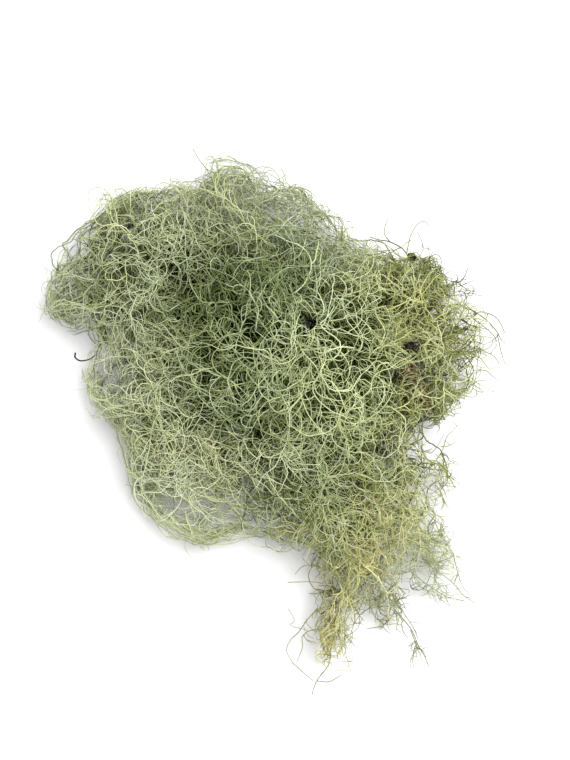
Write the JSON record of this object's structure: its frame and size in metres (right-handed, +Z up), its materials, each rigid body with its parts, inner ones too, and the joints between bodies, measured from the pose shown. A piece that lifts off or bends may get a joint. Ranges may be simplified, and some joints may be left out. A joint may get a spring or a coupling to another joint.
{
  "type": "tangled clump of beard lichen",
  "caption": "Loose tangled clump of beard lichen, a low mound of fine branching filaments with a trailing tail and a snapped bit of twig in it, lying on its flat underside.",
  "frame": {"origin": "middle of the clump's bounding box seen from above, on the surface it lies on", "axes": "+Z up from that surface, +Y along the clump from the trailing tail to the top lobe, +X towards the yellow-olive tuft that holds the twig"},
  "size_m": [0.1186, 0.1416, 0.0359],
  "materials": {
    "lichen_crown": "matte, waxy, pale yellow-green filaments",
    "lichen_grey_green": "matte, pale grey-green filaments",
    "lichen_shaded": "matte, deeper green filaments",
    "lichen_olive": "matte, yellow-olive branchlets",
    "lichen_ochre": "matte, ochre and straw-green strands",
    "lichen_pale": "matte, pale grey-green fine strands",
    "bark": "rough, flaking, reddish brown",
    "holdfast_black": "matte, blackened"
  },
  "bodies": {
    "root": {"thallus_centre": "lichen_crown", "thallus_top": "lichen_grey_green", "thallus_upper_left": "lichen_grey_green", "thallus_left": "lichen_grey_green", "thallus_lower_left": "lichen_grey_green", "thallus_lower_middle": "lichen_shaded", "thallus_right": "lichen_olive", "thallus_lower_right": "lichen_crown", "thallus_tail": "lichen_ochre", "thallus_tail_branch": "lichen_ochre", "thallus_wisps": "lichen_pale", "twig": "bark", "holdfast_on_twig": "holdfast_black", "holdfast_loose": "holdfast_black"}
  },
  "joints": []
}
